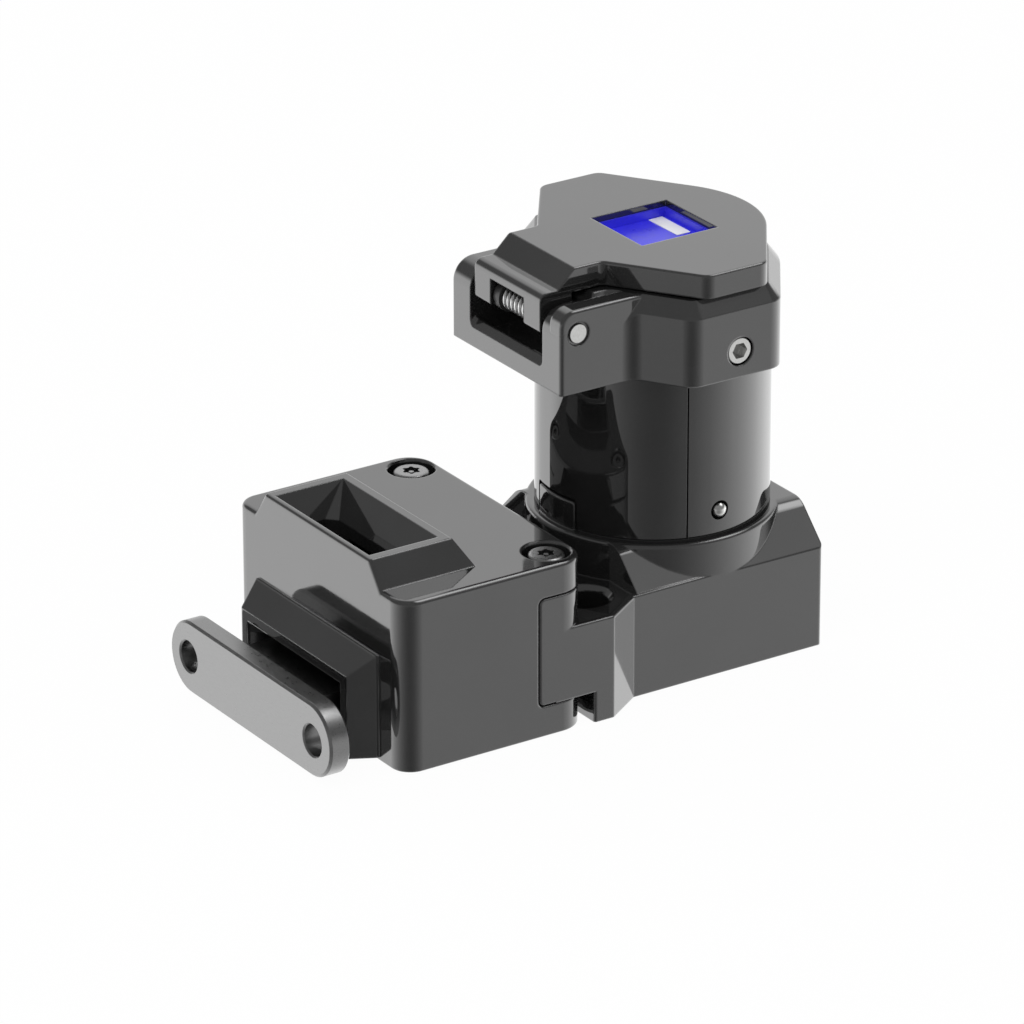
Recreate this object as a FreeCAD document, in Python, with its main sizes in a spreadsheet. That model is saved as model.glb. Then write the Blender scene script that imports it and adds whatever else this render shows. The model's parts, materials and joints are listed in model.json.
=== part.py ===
import FreeCAD, Part
import math
import os
import re
import Sketcher
from FreeCAD import Placement, Rotation, Vector

# A key module with a hinged dust lid, bolted behind a guard-switch head with a steel actuator.
# Origin: the barrel's axis on the flat mounting face. +X points away from the actuator, +Z up.
# Every number is in millimetres or degrees.
SIZES = {
    # barrel and the two shells it is made of
    "barrel_dia": 50.0, "barrel_wall": 3.6, "barrel_low": 31.2, "barrel_high": 84.4,
    "skirt_depth": 8.8, "seam_angle": 107.0, "seam_gap": 0.35, "shell_edge": 0.35,
    # body casting
    "boss_wall": 1.9, "end_wall": 0.4, "body_height": 30.9, "side_height": 22.5, "top_blend": 5.0,
    "boss_height": 30.9, "boss_lip": 0.8, "cast_edge": 0.6, "end_edge": 0.9,
    "ear_height": 23.1, "ear_front": 36.5, "ear_flat_long": 4.8, "ear_back": 22.8, "ledge_wall": 21.7,
    "lip_width": 1.1, "lip_depth": 0.8,
    "tab_front": 50.1, "tab_wide": 13.7, "tab_low": 7.0, "tab_high": 31.0, "tab_gap": 0.2, "tab_round": 1.2,
    "mount_x": 30.5, "mount_y": 19.5, "mount_hole": 5.5, "mount_bore": 10.4, "bore_depth": 10.0,
    "bore_rim": 1.1,
    "lug_half": 6.4, "lug_high": 37.2, "lug_gap": 0.7, "lug_proud": 0.15, "lug_notch_corner": 1.0,
    # slide channel, crank pocket and the cover below them
    "channel_half": 7.6, "channel_low": 9.9, "channel_high": 15.1, "channel_end": 13.0,
    "spigot_reach": 41.0, "spigot_half": 10.0, "spigot_low": 8.2, "spigot_high": 20.8, "fit": 0.1,
    "cover_thick": 2.5, "cover_front": 33.0, "cover_back": 18.0, "cover_half": 14.5,
    "cover_screw_dia": 3.0, "cover_screw_head": 5.6, "cover_screw_long": 8.0, "cover_screw_inset": 3.6,
    # head casting
    "head_front": 83.5, "head_rear": 37.8, "head_width": 65.4, "head_height": 38.2,
    "front_corner": 4.6, "rear_corner": 6.4, "head_edge": 1.1, "head_foot": 0.4, "groove_edge": 0.45,
    "rim_height": 5.6, "rim_length": 20.0, "rim_half": 20.2, "rim_spread": 4.1, "rim_rear_spread": 3.1,
    "rim_front_edge": 0.8, "rim_edge": 0.3,
    "mouth_side": 2.0, "mouth_front": 1.3, "mouth_rear": 2.1, "mouth_depth": 6.8,
    "throat_half": 15.4, "throat_front": 4.5, "throat_length": 9.3, "throat_corner": 2.0,
    "guide_step": 0.5, "guide_reach": 6.0, "guide_low": 0.7, "guide_high": 23.55, "guide_half": 23.4,
    "guide_rim_half": 20.5, "guide_rim_high": 19.35, "guide_side_wall": 2.6, "guide_floor": 1.0,
    "guide_top_wall": 2.4, "guide_lip": 0.7, "guide_edge": 0.4,
    # screws that hold the head
    "screw_x": 44.0, "screw_inset": 7.0, "screw_dia": 4.0, "screw_head": 8.0, "screw_head_high": 3.0,
    "screw_long": 16.0, "screw_recess": 9.9, "recess_depth": 3.4, "screw_hole": 4.4,
    "star_reach": 1.5, "star_lobe": 0.45, "star_depth": 1.6, "star_pin": 0.55,
    # actuator: plate and tongue in one piece
    "plate_front": 100.2, "plate_thick": 4.9, "plate_half": 31.6, "plate_height": 16.2, "plate_z": 9.25,
    "plate_hole": 6.8, "plate_hole_inset": 7.2, "plate_edge": 0.5, "hole_edge": 0.35,
    "tongue_half": 15.0, "tongue_height": 8.4, "tongue_end": 52.0, "tongue_nose": 1.0,
    "tongue_slot_half": 5.0, "tongue_slot_front": 65.0, "tongue_slot_long": 11.0, "tongue_gap": 0.35,
    "actuator_travel": 26.0,
    # latch cam, its shaft and its spring in the head
    "cam_x": 59.5, "cam_z": 24.0, "cam_disc": 18.0, "cam_half": 6.0, "cam_shaft_dia": 5.0,
    "finger_reach": 17.0, "finger_half": 4.2, "finger_tip": 1.8, "finger_root": 3.0, "cam_clear": 0.5,
    "chamber_front": 72.0, "chamber_rear": 50.2, "chamber_half": 10.2, "chamber_high": 34.0,
    "shaft_half": 14.0,
    "cam_wire": 0.8, "cam_coil": 6.6, "cam_coil_turns": 3.0, "cam_coil_pitch": 1.05, "cam_coil_start": 9.6,
    # slide bolt and the crank that drives it
    "bolt_travel": 5.0, "bolt_nose": 50.6, "bolt_step": 46.0, "riser_rear": 41.6, "bolt_end": 8.5,
    "bolt_half": 7.45, "nose_half": 5.5, "bolt_low": 10.05, "bolt_high": 14.95, "nose_low": 16.0,
    "nose_high": 20.0,
    "rail_half": 7.3, "rail_wide": 1.8, "rail_front": 30.0, "rail_gap": 0.1,
    "crank_pin": 3.0, "crank_pin_long": 4.0, "yoke_play": 0.25, "crank_rim": 0.8, "crank_thick": 3.0,
    "crank_low": 15.25, "crank_gap": 0.5,
    # key core, rotor and the shaft below it
    "core_low": 24.0, "core_floor": 57.5, "core_high": 83.4, "core_gap": 0.1, "core_roof": 50.0,
    "core_tube": 16.0, "core_wall": 4.3, "rotor_bore": 28.2, "rotor_dia": 28.0, "rotor_low": 57.8,
    "rotor_high": 82.8, "shaft_dia": 8.0, "shaft_fit": 0.08, "key_wide": 5.2, "key_long": 19.0,
    "key_deep": 15.0,
    "key_round": 8.0, "key_plate_thick": 1.6, "key_plate_hole": 23.0, "clip_dia": 13.0, "clip_thick": 1.0,
    "clip_gap": 0.15, "clip_mouth": 5.0,
    # pins that key the barrel to the core
    "lock_pin_z": 36.5, "lock_pin_dia": 3.4, "lock_pin_hole": 4.3, "lock_pin_long": 5.6, "lock_pin_in": 0.6,
    # hinge cap on the barrel
    "cap_low": 68.9, "cap_side_high": 83.7, "cap_high": 87.1, "cap_side_wall": 6.8, "cap_end_wall": 1.4,
    "flank_angle": 35.0, "cap_corner": 4.5, "cap_slope": 37.0, "shoulder_inset": 13.3, "root_inset": 5.55,
    "root_blend": 4.2, "crown_inset": 4.0,
    "arm_nose": 4.3, "arm_inset": 4.5, "arm_thick": 6.9, "arm_high": 86.1, "arm_round": 4.8, "arm_edge": 0.8,
    "arm_back": 14.0, "rib_wide": 4.1, "rib_round": 3.5,
    "well_floor": 71.4, "well_wall": 2.2, "sill_high": 74.6, "sill_thick": 2.0, "sill_slope": 1.5,
    "mouth_corner": 1.2, "hinge_out": 7.6, "hinge_z": 82.0, "pin_dia": 4.0, "pin_fit": 0.05, "pin_ring": 5.3,
    "ring_depth": 0.5,
    "set_screw_z": 74.6, "set_screw_dia": 5.9, "set_screw_gap": 0.25, "set_screw_hex": 3.2,
    "set_screw_deep": 2.4, "set_screw_in": 0.3,
    # lid with its seal and label
    "lid_low": 87.55, "lid_high": 92.7, "lid_inset": 0.6, "lid_end_inset": 2.9, "lid_corner": 3.0,
    "lid_edge": 0.55,
    "lid_shoulder_inset": 17.2, "neck_gap": 1.4, "neck_inset": 3.8, "neck_root": 2.0, "ridge_behind": 4.7,
    "shelf_behind": 0.4, "shelf_z": 88.65, "leaf_nose": 4.0, "nose_round": 1.8, "leaf_low": 79.9,
    "leaf_behind": 3.8, "leaf_round": 1.0, "notch_left": 6.4, "notch_right": 6.15, "notch_high": 86.05,
    "window": 19.0, "window_deep": 3.9, "tray_gap": 0.05, "tray_high": 2.5, "tray_floor": 0.6,
    "tray_wall": 0.6,
    "strip_long": 10.5, "strip_wide": 3.4, "strip_thick": 0.15, "strip_x": 6.3, "strip_y": 3.4,
    "seal_start": 0.05, "seal_wide": 1.25, "seal_drop": 0.25, "seal_in": 1.0,
    # torsion spring and spacer on the hinge pin
    "coil_dia": 5.8, "coil_wire": 0.8, "coil_start": 3.6, "coil_turns": 6.5, "coil_pitch": 1.42,
    "leg_gap": 0.9, "spacer_dia": 6.8, "spacer_long": 2.0, "spacer_gap": 0.3,
}

# Places that follow other sizes, as expressions in those names.
BODY_HALF = "(barrel_dia / 2 + boss_wall)"
BODY_END = "(barrel_dia / 2 + end_wall)"
EAR_FLAT = "(ear_front - ear_flat_long)"
TAB_INNER = "(head_width / 2 - tab_wide)"
SCREW_Y = "(head_width / 2 - screw_inset)"
PLATE_HOLE_Y = "(plate_half - plate_hole_inset)"
CAP_HALF = "(barrel_dia / 2 + cap_side_wall)"
CAP_MOUTH = "(barrel_dia / 2 - barrel_wall)"
ARM_HALF = "(barrel_dia / 2 - arm_inset)"
WELL_REAR = "(barrel_dia / 2 + well_wall)"
HINGE_X = "(barrel_dia / 2 + hinge_out)"
ARM_FRONT = f"({HINGE_X} + arm_nose)"
NECK_HALF = f"({ARM_HALF} - arm_thick - neck_gap)"

doc = FreeCAD.newDocument("interlock")
sheet = doc.addObject("Spreadsheet::Sheet", "Sizes")
for row, (alias, value) in enumerate(SIZES.items(), start=1):
    sheet.set(f"A{row}", alias)
    sheet.set(f"B{row}", str(value))
    sheet.setAlias(f"B{row}", alias)
doc.recompute()

made = []


def size(alias):
    """The value that the sheet holds for a name."""
    return float(sheet.get(alias))


def formula(text):
    """An expression in sheet names, as the document writes it."""
    def named(word):
        return "Sizes." + word.group(0) if word.group(0) in SIZES else word.group(0)
    return re.sub(r"\b[a-z]\w*\b", named, text)


def bind(thing, **links):
    for prop, text in links.items():
        thing.setExpression(prop.replace("__", "."), formula(text))


def place(thing, x="0", y="0", z="0", turn=None):
    """Puts an object at a place given as three expressions."""
    if turn:
        thing.Placement = Placement(Vector(), turn)
    for axis, text in (("x", x), ("y", y), ("z", z)):
        thing.setExpression("Placement.Base." + axis, formula(text))
    return thing


def box(name, x0, x1, y0, y1, z0, z1):
    solid = doc.addObject("Part::Box", name)
    bind(solid, Length=f"({x1}) - ({x0})", Width=f"({y1}) - ({y0})", Height=f"({z1}) - ({z0})")
    return place(solid, x0, y0, z0)


ALONG = {"z": None, "y": Rotation(Vector(1, 0, 0), -90), "x": Rotation(Vector(0, 1, 0), 90)}


def rod(name, dia, x, y, z, length, axis="z"):
    """A cylinder whose base is centred at a place and that runs up an axis."""
    solid = doc.addObject("Part::Cylinder", name)
    bind(solid, Radius=f"({dia}) / 2", Height=length)
    return place(solid, x, y, z, ALONG[axis])


def cone(name, low_dia, high_dia, x, y, z, length, axis="z"):
    solid = doc.addObject("Part::Cone", name)
    bind(solid, Radius1=f"({low_dia}) / 2", Radius2=f"({high_dia}) / 2", Height=length)
    return place(solid, x, y, z, ALONG[axis])


def wedge(name, low, high, length, turn, x="0", y="0", z="0"):
    """A frustum on a rectangle: low and high are (x0, x1, z0, z1) at its two ends, along its own Y."""
    solid = doc.addObject("Part::Wedge", name)
    bind(solid, Xmin=low[0], Xmax=low[1], Zmin=low[2], Zmax=low[3], Ymin="0", Ymax=length)
    bind(solid, X2min=high[0], X2max=high[1], Z2min=high[2], Z2max=high[3])
    return place(solid, x, y, z, turn)


def outline(name, corners, x="0", y="0", z="0", turn=None):
    """A closed sketch through corners, each given as two expressions."""
    sketch = doc.addObject("Sketcher::SketchObject", name)
    rough = [(index * 10.0, (index % 2) * 10.0) for index in range(len(corners))]
    count = len(corners)
    for index in range(count):
        start, end = rough[index], rough[(index + 1) % count]
        sketch.addGeometry(Part.LineSegment(Vector(*start, 0), Vector(*end, 0)), False)
    for index in range(count):
        sketch.addConstraint(Sketcher.Constraint("Coincident", index, 2, (index + 1) % count, 1))
    for index, corner in enumerate(corners):
        for kind, text, guess in zip(("DistanceX", "DistanceY"), corner, rough[index]):
            number = sketch.addConstraint(Sketcher.Constraint(kind, -1, 1, index, 1, guess))
            sketch.setExpression(f"Constraints[{number}]", formula(text))
    return place(sketch, x, y, z, turn)


def extrude(name, sketch, length, direction=Vector(0, 0, 1), taper=None):
    solid = doc.addObject("Part::Extrusion", name)
    solid.Base = sketch
    solid.DirMode = "Custom"
    solid.Dir = direction
    solid.Solid = True
    bind(solid, LengthFwd=length)
    if taper:
        bind(solid, TaperAngle=taper)
    return solid


def prism(name, corners, z0, z1):
    """A plan outline pulled up from z0 to z1."""
    return extrude(name, outline(name + "_plan", corners, z=z0), f"({z1}) - ({z0})")


def side_prism(name, corners, half):
    """An outline in X and Z pulled along Y, centred on the plane of symmetry."""
    turn = Rotation(Vector(1, 0, 0), 90)
    sketch = outline(name + "_side", corners, y=half, turn=turn)
    return extrude(name, sketch, f"2 * ({half})", Vector(0, -1, 0))


def loft(name, low, high):
    solid = doc.addObject("Part::Loft", name)
    solid.Sections = [low, high]
    solid.Solid = True
    solid.Ruled = True
    return solid


def fuse(name, *pieces):
    whole = doc.addObject("Part::MultiFuse", name)
    whole.Shapes = list(pieces)
    whole.Refine = True
    return whole


def common(name, *pieces):
    shared = doc.addObject("Part::MultiCommon", name)
    shared.Shapes = list(pieces)
    return shared


def cut(name, base, *tools):
    tool = tools[0] if len(tools) == 1 else fuse(name + "_tools", *tools)
    rest = doc.addObject("Part::Cut", name)
    rest.Base = base
    rest.Tool = tool
    rest.Refine = True
    return rest


def mirror(name, source):
    """The same piece on the other side of the plane of symmetry."""
    twin = doc.addObject("Part::Mirroring", name)
    twin.Source = source
    twin.Normal = Vector(0, 1, 0)
    return twin


def group(name, *pieces):
    bundle = doc.addObject("Part::Compound", name)
    bundle.Links = list(pieces)
    return bundle


def both(name, piece):
    return group(name, piece, mirror(name + "_far", piece))


def dress(kind, name, base, wanted, *reach):
    """Rounds or bevels the edges that a test picks, by one reach or two."""
    doc.recompute()
    shaped = doc.addObject(kind, name)
    shaped.Base = base
    first, last = reach[0], reach[-1]
    edges = enumerate(base.Shape.Edges, start=1)
    shaped.Edges = [(number, first, last) for number, edge in edges if wanted(edge)]
    return shaped


def rounded(name, base, wanted, radius):
    return dress("Part::Fillet", name, base, wanted, radius)


def bevelled(name, base, wanted, reach):
    return dress("Part::Chamfer", name, base, wanted, reach)


def near(value, target, slack=0.01):
    return abs(value - target) < slack


def upright(edge):
    """Whether an edge is a straight line up Z."""
    ends = [vertex.Point for vertex in edge.Vertexes]
    return len(ends) == 2 and near(ends[0].x, ends[1].x) and near(ends[0].y, ends[1].y)


def lengthwise(edge):
    """Whether an edge runs straight along X."""
    return near(edge.BoundBox.YLength, 0) and near(edge.BoundBox.ZLength, 0)


def flat_at(edge, level):
    """Whether a whole edge lies at one height."""
    return near(edge.BoundBox.ZMin, level) and near(edge.BoundBox.ZMax, level)


def keep(node, thing):
    thing.Label = node
    made.append(thing)
    return thing


# Head casting

def head_block():
    block = box("head_block", "-head_front", "-head_rear", "-head_width / 2", "head_width / 2", "0",
                "head_height")
    front = rounded("head_front_corners", block,
                    lambda e: upright(e) and near(e.BoundBox.XMin, -size("head_front")),
                    size("front_corner"))
    rear = rounded("head_rear_corners", front,
                   lambda e: upright(e) and near(e.BoundBox.XMin, -size("head_rear")),
                   size("rear_corner"))
    top = rounded("head_edges", rear, lambda e: flat_at(e, size("head_height")), size("head_edge"))
    return rounded("head_foot_edges", top, lambda e: flat_at(e, 0), size("head_foot"))


def top_funnel():
    """The raised rim round the upper entry. It is flush with the front face, over the head's rounded edge."""
    upward = Rotation(Vector(1, 0, 0), 90)
    deeper = "(rim_height + head_edge) / rim_height"
    spread = f"(rim_half + rim_spread * {deeper})"
    foot = ("0", f"rim_length + rim_rear_spread * {deeper}", f"-{spread}", spread)
    rim = ("0", "rim_length", "-rim_half", "rim_half")
    block = wedge("funnel_block", foot, rim, "rim_height + head_edge", upward, x="-head_front",
                  z="head_height - head_edge")
    front = rounded("funnel_front_edges", block, lambda e: near(e.BoundBox.XMax, -size("head_front"))
                    and e.BoundBox.ZMax > size("head_height"), size("rim_front_edge"))
    top = size("head_height") + size("rim_height")
    return rounded("funnel_edges", front, lambda e: flat_at(e, top)
                   and e.BoundBox.XMax > -size("head_front") + size("rim_front_edge") + 0.01,
                   size("rim_edge"))


def eight(x0, x1, half, corner):
    """A rectangle with its four corners cut off."""
    return [(f"{x0} + {corner}", f"-({half})"), (f"{x1} - {corner}", f"-({half})"),
            (x1, f"-({half}) + {corner}"), (x1, f"{half} - {corner}"),
            (f"{x1} - {corner}", half), (f"{x0} + {corner}", half),
            (x0, f"{half} - {corner}"), (x0, f"-({half}) + {corner}")]


def entry_funnel(throat_x0, throat_x1):
    """The tapered hole in the upper rim, sharp-cornered at its mouth and bevelled at its throat."""
    mouth = eight("-head_front + mouth_front", "-head_front + rim_length - mouth_rear",
                  "rim_half - mouth_side", "0.05")
    throat = eight(throat_x0, throat_x1, "throat_half", "throat_corner")
    top = outline("funnel_mouth", mouth, z="head_height + rim_height")
    low = outline("funnel_throat", throat, z="head_height + rim_height - mouth_depth")
    shaft = extrude("funnel_shaft", low, "head_height + rim_height - mouth_depth - plate_z", Vector(0, 0, -1))
    return fuse("funnel_inner", loft("funnel_taper", low, top), shaft)


CHANNEL_LOW = "(plate_z - tongue_height / 2 - tongue_gap)"
CHANNEL_HIGH = "(plate_z + tongue_height / 2 + tongue_gap)"


def guide_mouth():
    """The tapered hole in the front guide."""
    backward = Rotation(Vector(0, 0, 1), 90)
    throat = ("-throat_half", "throat_half", CHANNEL_LOW, CHANNEL_HIGH)
    mouth = ("-guide_rim_half + guide_side_wall", "guide_rim_half - guide_side_wall",
             "guide_low + guide_floor",
             "guide_rim_high - guide_top_wall")
    return wedge("guide_taper", throat, mouth, "guide_reach", backward, x="-head_front")


def front_guide():
    """The tapered collar that steers the tongue into the front entry."""
    forward = Rotation(Vector(0, 0, 1), 90)
    base = ("-guide_half", "guide_half", "guide_low", "guide_high")
    rim = ("-guide_rim_half", "guide_rim_half", "guide_low", "guide_rim_high")
    step = box("guide_step_block", "-head_front - guide_step", "-head_front + 1", "-guide_half", "guide_half",
               "guide_low", "guide_high")
    slope = wedge("guide_slope", base, rim, "guide_reach - guide_step", forward, x="-head_front - guide_step")
    hollow = cut("guide_hollow", fuse("guide_outer", step, slope), guide_mouth())
    front = -size("head_front") - size("guide_reach")
    inside = size("guide_rim_half") - size("guide_side_wall") / 2
    lip = rounded("guide_lip_edges", hollow, lambda e: near(e.BoundBox.XMax, front)
                  and abs(e.BoundBox.YMin) < inside and abs(e.BoundBox.YMax) < inside, size("guide_lip"))
    return rounded("guide_edges", lip, lambda e: near(e.BoundBox.XMax, front)
                   and max(abs(e.BoundBox.YMin), abs(e.BoundBox.YMax)) > inside, size("guide_edge"))


def tongue_channel():
    return box("tongue_channel", "-head_front - 0.5", "-tongue_end + 1.2", "-throat_half", "throat_half",
               CHANNEL_LOW, CHANNEL_HIGH)


def head_cavities(throat_x0, throat_x1):
    chamber = box("cam_chamber", "-chamber_front", "-chamber_rear", "-chamber_half", "chamber_half",
                  "channel_low - 1", "chamber_high")
    socket = box("spigot_socket", "-chamber_rear - 1", "-head_rear + 1", "-spigot_half - fit",
                 "spigot_half + fit",
                 "spigot_low - fit", "spigot_high + fit")
    bore = rod("cam_shaft_bore", "cam_shaft_dia + 2 * pin_fit", "-cam_x", "-shaft_half", "cam_z",
               "2 * shaft_half", "y")
    return chamber, socket, bore, entry_funnel(throat_x0, throat_x1), tongue_channel()


def tab_notch():
    """The rebate in the head's flank that takes the body's tab."""
    notch = box("tab_notch", "-tab_front - tab_gap", "-head_rear + 1", "-head_width / 2 - 1",
                f"-{TAB_INNER} + tab_gap",
                "tab_low - tab_gap", "tab_high + tab_gap")
    corners = rounded("tab_notch_corners", notch,
                      lambda e: near(e.BoundBox.XMax, -size("tab_front") - size("tab_gap"))
                      and near(e.BoundBox.ZMin, e.BoundBox.ZMax), size("tab_round") + size("tab_gap"))
    return corners


def screw_seat():
    hole = rod("screw_hole", "screw_hole", "-screw_x", f"-{SCREW_Y}", "tab_high", "head_height - tab_high + 1")
    recess = rod("screw_recess_cut", "screw_recess", "-screw_x", f"-{SCREW_Y}", "head_height - recess_depth",
                 "recess_depth + 1")
    rim = cone("screw_recess_rim", "screw_recess", "screw_recess + 1.2", "-screw_x", f"-{SCREW_Y}",
               "head_height - 0.4",
               "0.6")
    return fuse("screw_seat", hole, recess, rim)


def at_tab_notch(edge):
    """Whether an edge is where a tab's notch meets the head's flank."""
    bounds, gap = edge.BoundBox, size("tab_gap")
    return (near(max(abs(bounds.YMin), abs(bounds.YMax)), size("head_width") / 2)
            and bounds.XMin > -size("tab_front") - gap - 0.01
            and bounds.ZMin > size("tab_low") - gap - 0.01 and bounds.ZMax < size("tab_high") + gap + 0.01)


def make_head():
    throat_x0 = "-head_front + throat_front"
    throat_x1 = "-head_front + throat_front + throat_length"
    solid = fuse("head_solid", head_block(), top_funnel(), front_guide())
    notch, seat = tab_notch(), screw_seat()
    tools = head_cavities(throat_x0, throat_x1) + (notch, mirror("tab_notch_far", notch))
    tools += (seat, mirror("screw_seat_far", seat))
    keep("head_housing", rounded("head_housing", cut("head_cut", solid, *tools), at_tab_notch,
                                 size("groove_edge")))


# Body casting

def main_block():
    """The body behind the ears: upright flanks, 45 degree slopes and a flat top."""
    half = BODY_HALF
    slope = "(body_height - side_height)"
    corners = [(f"-{half}", "0"), (half, "0"), (half, "side_height"), (f"{half} - {slope}", "body_height"),
               (f"-{half} + {slope}", "body_height"), (f"-{half}", "side_height")]
    upright_plane = Rotation(Vector(1, 1, 1), 120)
    section = outline("body_section", corners, x="-ledge_wall", turn=upright_plane)
    block = extrude("body_block", section, f"ledge_wall + {BODY_END}", Vector(1, 0, 0))
    top = rounded("body_shoulders", block, lambda e: flat_at(e, size("body_height")) and lengthwise(e),
                  size("top_blend"))
    end = size("barrel_dia") / 2 + size("end_wall")
    return rounded("body_edges", top, lambda e: (flat_at(e, size("side_height")) and lengthwise(e))
                   or (upright(e) and near(e.BoundBox.XMin, end)), size("end_edge"))


def ear_block():
    """The low front part whose two ears carry the mounting screws, with a shallow ledge on top."""
    flank, reach = BODY_HALF, "head_width / 2"
    corners = [("-ear_front", f"-{reach}"), (f"-{EAR_FLAT}", f"-{reach}"), ("-ear_back", f"-{flank}"),
               ("0", f"-{flank}"),
               ("0", flank), ("-ear_back", flank), (f"-{EAR_FLAT}", reach), ("-ear_front", reach)]
    block = prism("ear_block", corners, "0", "ear_height")
    side = size("head_width") / 2
    corner_lines = [-size("ear_front"), size("ear_flat_long") - size("ear_front")]
    block = rounded("ear_edges", block,
                    lambda e: flat_at(e, size("ear_height")) and abs(e.BoundBox.Center.y) > size("barrel_dia") / 2
                    or upright(e) and near(abs(e.BoundBox.Center.y), side)
                    and any(near(e.BoundBox.XMin, line) for line in corner_lines), size("cast_edge"))
    inner, slant = "(head_width / 2 - lip_width)", "0.6 * lip_width"
    ledge = [("-ear_front - 1", f"-{inner}"), (f"-{EAR_FLAT} - {slant}", f"-{inner}"),
             (f"-ear_back - {slant}", f"-{BODY_HALF} + lip_width"), ("0", f"-{BODY_HALF} + lip_width"),
             ("0", f"{BODY_HALF} - lip_width"), (f"-ear_back - {slant}", f"{BODY_HALF} - lip_width"),
             (f"-{EAR_FLAT} - {slant}", inner), ("-ear_front - 1", inner)]
    return cut("ear_ledge", block, prism("ledge_cut", ledge, "ear_height - lip_depth", "ear_height + 1"))


def tab():
    """A lug on the ear that reaches into the head and takes its screw."""
    high = box("tab_block", "-tab_front", "-head_rear", "-head_width / 2", f"-{TAB_INNER}", "tab_low",
               "tab_high")
    corner = rounded("tab_corner", high, lambda e: upright(e) and near(e.BoundBox.XMin, -size("head_rear"))
                     and near(e.BoundBox.YMin, -size("head_width") / 2), size("rear_corner"))
    front = rounded("tab_front_corners", corner, lambda e: near(e.BoundBox.XMin, -size("tab_front"))
                    and near(e.BoundBox.XMax, -size("tab_front")) and near(e.BoundBox.ZMin, e.BoundBox.ZMax),
                    size("tab_round"))
    front = rounded("tab_edges", front, lambda e: near(e.BoundBox.YMin, -size("head_width") / 2)
                    and not near(e.BoundBox.XMax, -size("head_rear")), size("groove_edge"))
    root = box("tab_root", "-tab_front + 4", "-ear_front + 1", "-head_width / 2", f"-{TAB_INNER}", "tab_low",
               "ear_height")
    root = rounded("tab_root_edge", root, lambda e: flat_at(e, size("ear_height")) and lengthwise(e)
                   and near(e.BoundBox.YMin, -size("head_width") / 2), size("cast_edge"))
    root = cut("tab_root_ledge", root, box("tab_root_cut", "-tab_front", "-ear_front + 2",
                                           "-head_width / 2 + lip_width", "0", "ear_height - lip_depth",
                                           "ear_height + 1"))
    hole = rod("tab_thread", "screw_dia + fit", "-screw_x", f"-{SCREW_Y}", "tab_high - screw_long + 1",
               "screw_long")
    return fuse("tab_whole", front, root), hole


def mount_bore():
    shaft = rod("mount_shaft", "mount_hole", "-mount_x", "-mount_y", "-1", "ear_height + 2")
    seat = "ear_height - lip_depth - bore_depth"
    head = rod("mount_counterbore", "mount_bore", "-mount_x", "-mount_y", seat, "bore_depth + 2")
    rim = cone("mount_rim", "mount_bore", "mount_bore + 2 * bore_rim + 0.4", "-mount_x", "-mount_y",
               "ear_height - lip_depth - bore_rim", "bore_rim + 0.2")
    return fuse("mount_bore", shaft, head, rim)


CRANK_REACH = "bolt_travel / sqrt(2)"
CRANK_DISC = f"(2 * {CRANK_REACH} + crank_pin + 2 * crank_rim)"


def body_cavities():
    sink = rod("barrel_socket", "barrel_dia - barrel_wall + 2 * fit", "0", "0", "barrel_low - skirt_depth",
               "skirt_depth + 10")
    channel = box("slide_channel", "-spigot_reach - 1", "channel_end", "-channel_half", "channel_half",
                  "cover_thick", "channel_high")
    recess = box("cover_recess", "-cover_front", "cover_back", "-cover_half", "cover_half", "-1",
                 "cover_thick")
    pocket = rod("crank_pocket", f"{CRANK_DISC} + 2 * crank_gap", "0", "0", "channel_high - 1",
                 "crank_low + crank_thick + 2 * crank_gap - channel_high + 1")
    bore = rod("shaft_bore", "shaft_dia + 2 * shaft_fit", "0", "0", "channel_high", "body_height")
    return [sink, channel, recess, pocket, bore]


def lug():
    """A key on the boss that stops the barrel from turning."""
    ring = rod("lug_disc", "barrel_dia + 2 * lug_proud", "0", "0", "side_height", "lug_high - side_height")
    core = rod("lug_core", "barrel_dia - barrel_wall", "0", "0", "side_height - 1",
               "lug_high - side_height + 2")
    window = box("lug_window", "-barrel_dia", "0", "-lug_half", "lug_half", "side_height", "lug_high")
    piece = common("lug_shape", cut("lug_ring", ring, core), window)
    piece = rounded("lug_corners", piece,
                    lambda e: flat_at(e, size("lug_high")) and near(e.BoundBox.YLength, 0),
                    size("cast_edge"))
    outside = size("barrel_dia") / 2 + size("lug_proud")
    return rounded("lug_edges", piece, lambda e: e.BoundBox.ZMax > size("boss_height")
                   and all(near(math.hypot(v.X, v.Y), outside) for v in e.Vertexes), size("groove_edge"))


def cover_screw_places():
    inset = "cover_screw_inset"
    return [(x, y) for x in (f"-cover_front + {inset}", f"cover_back - {inset}")
            for y in (f"-cover_half + {inset}", f"cover_half - {inset}")]


def make_body():
    boss = rod("boss", f"2 * {BODY_HALF}", "0", "0", "0", "boss_height")
    boss = rounded("boss_lip", boss, lambda e: flat_at(e, size("boss_height")), size("boss_lip"))
    boss = cut("boss_flush", boss, box("boss_end_cut", BODY_END, "barrel_dia", "-barrel_dia", "barrel_dia",
                                       "-1",
                                       "body_height + 1"))
    tab_solid, thread = tab()
    spigot = box("spigot", "-spigot_reach", "-ear_front + 1", "-spigot_half", "spigot_half", "spigot_low",
                 "spigot_high")
    solid = fuse("body_solid", main_block(), ear_block(), boss, tab_solid, mirror("tab_far", tab_solid),
                 spigot)
    bore = mount_bore()
    tools = body_cavities() + [bore, mirror("mount_bore_far", bore), thread, mirror("thread_far", thread)]
    for number, (x, y) in enumerate(cover_screw_places()):
        tools.append(rod(f"cover_thread_{number}", "cover_screw_dia + fit", x, y, "0",
                         "cover_screw_long + 1"))
    return keep("body_housing", fuse("body_housing", cut("body_cut", solid, *tools), lug()))


# Barrel

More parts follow.
